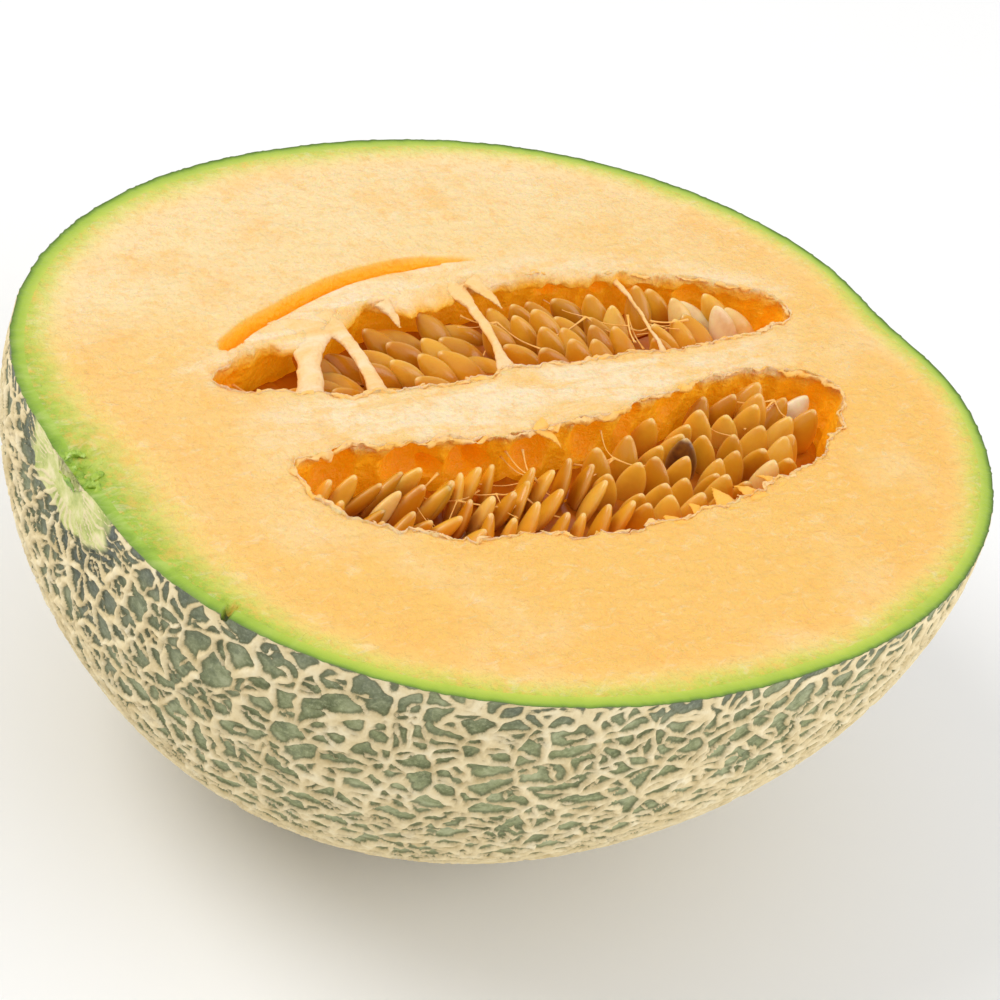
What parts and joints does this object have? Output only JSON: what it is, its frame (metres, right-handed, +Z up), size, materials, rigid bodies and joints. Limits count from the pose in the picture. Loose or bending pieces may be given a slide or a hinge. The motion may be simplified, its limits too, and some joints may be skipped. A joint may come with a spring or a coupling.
{
  "type": "melon half",
  "caption": "Half of a netted cantaloupe melon cut lengthwise, cut face up, with its seeds, resting on a small flat spot of its rind.",
  "frame": {"origin": "middle of the small flat spot under the rind, below the middle of the bounding box", "axes": "+X from the stem end to the blossom end, +Y across the melon, +Z up and out of the level cut face"},
  "size_m": [0.162, 0.1408, 0.0748],
  "materials": {
    "netted_rind": "grey-green skin under a raised tan net",
    "orange_flesh": "moist, slightly translucent",
    "seed": "wet golden tan"
  },
  "bodies": {
    "root": {"rind": "netted_rind", "flesh": "orange_flesh", "seeds_far": "seed", "seeds_near": "seed"}
  },
  "joints": []
}
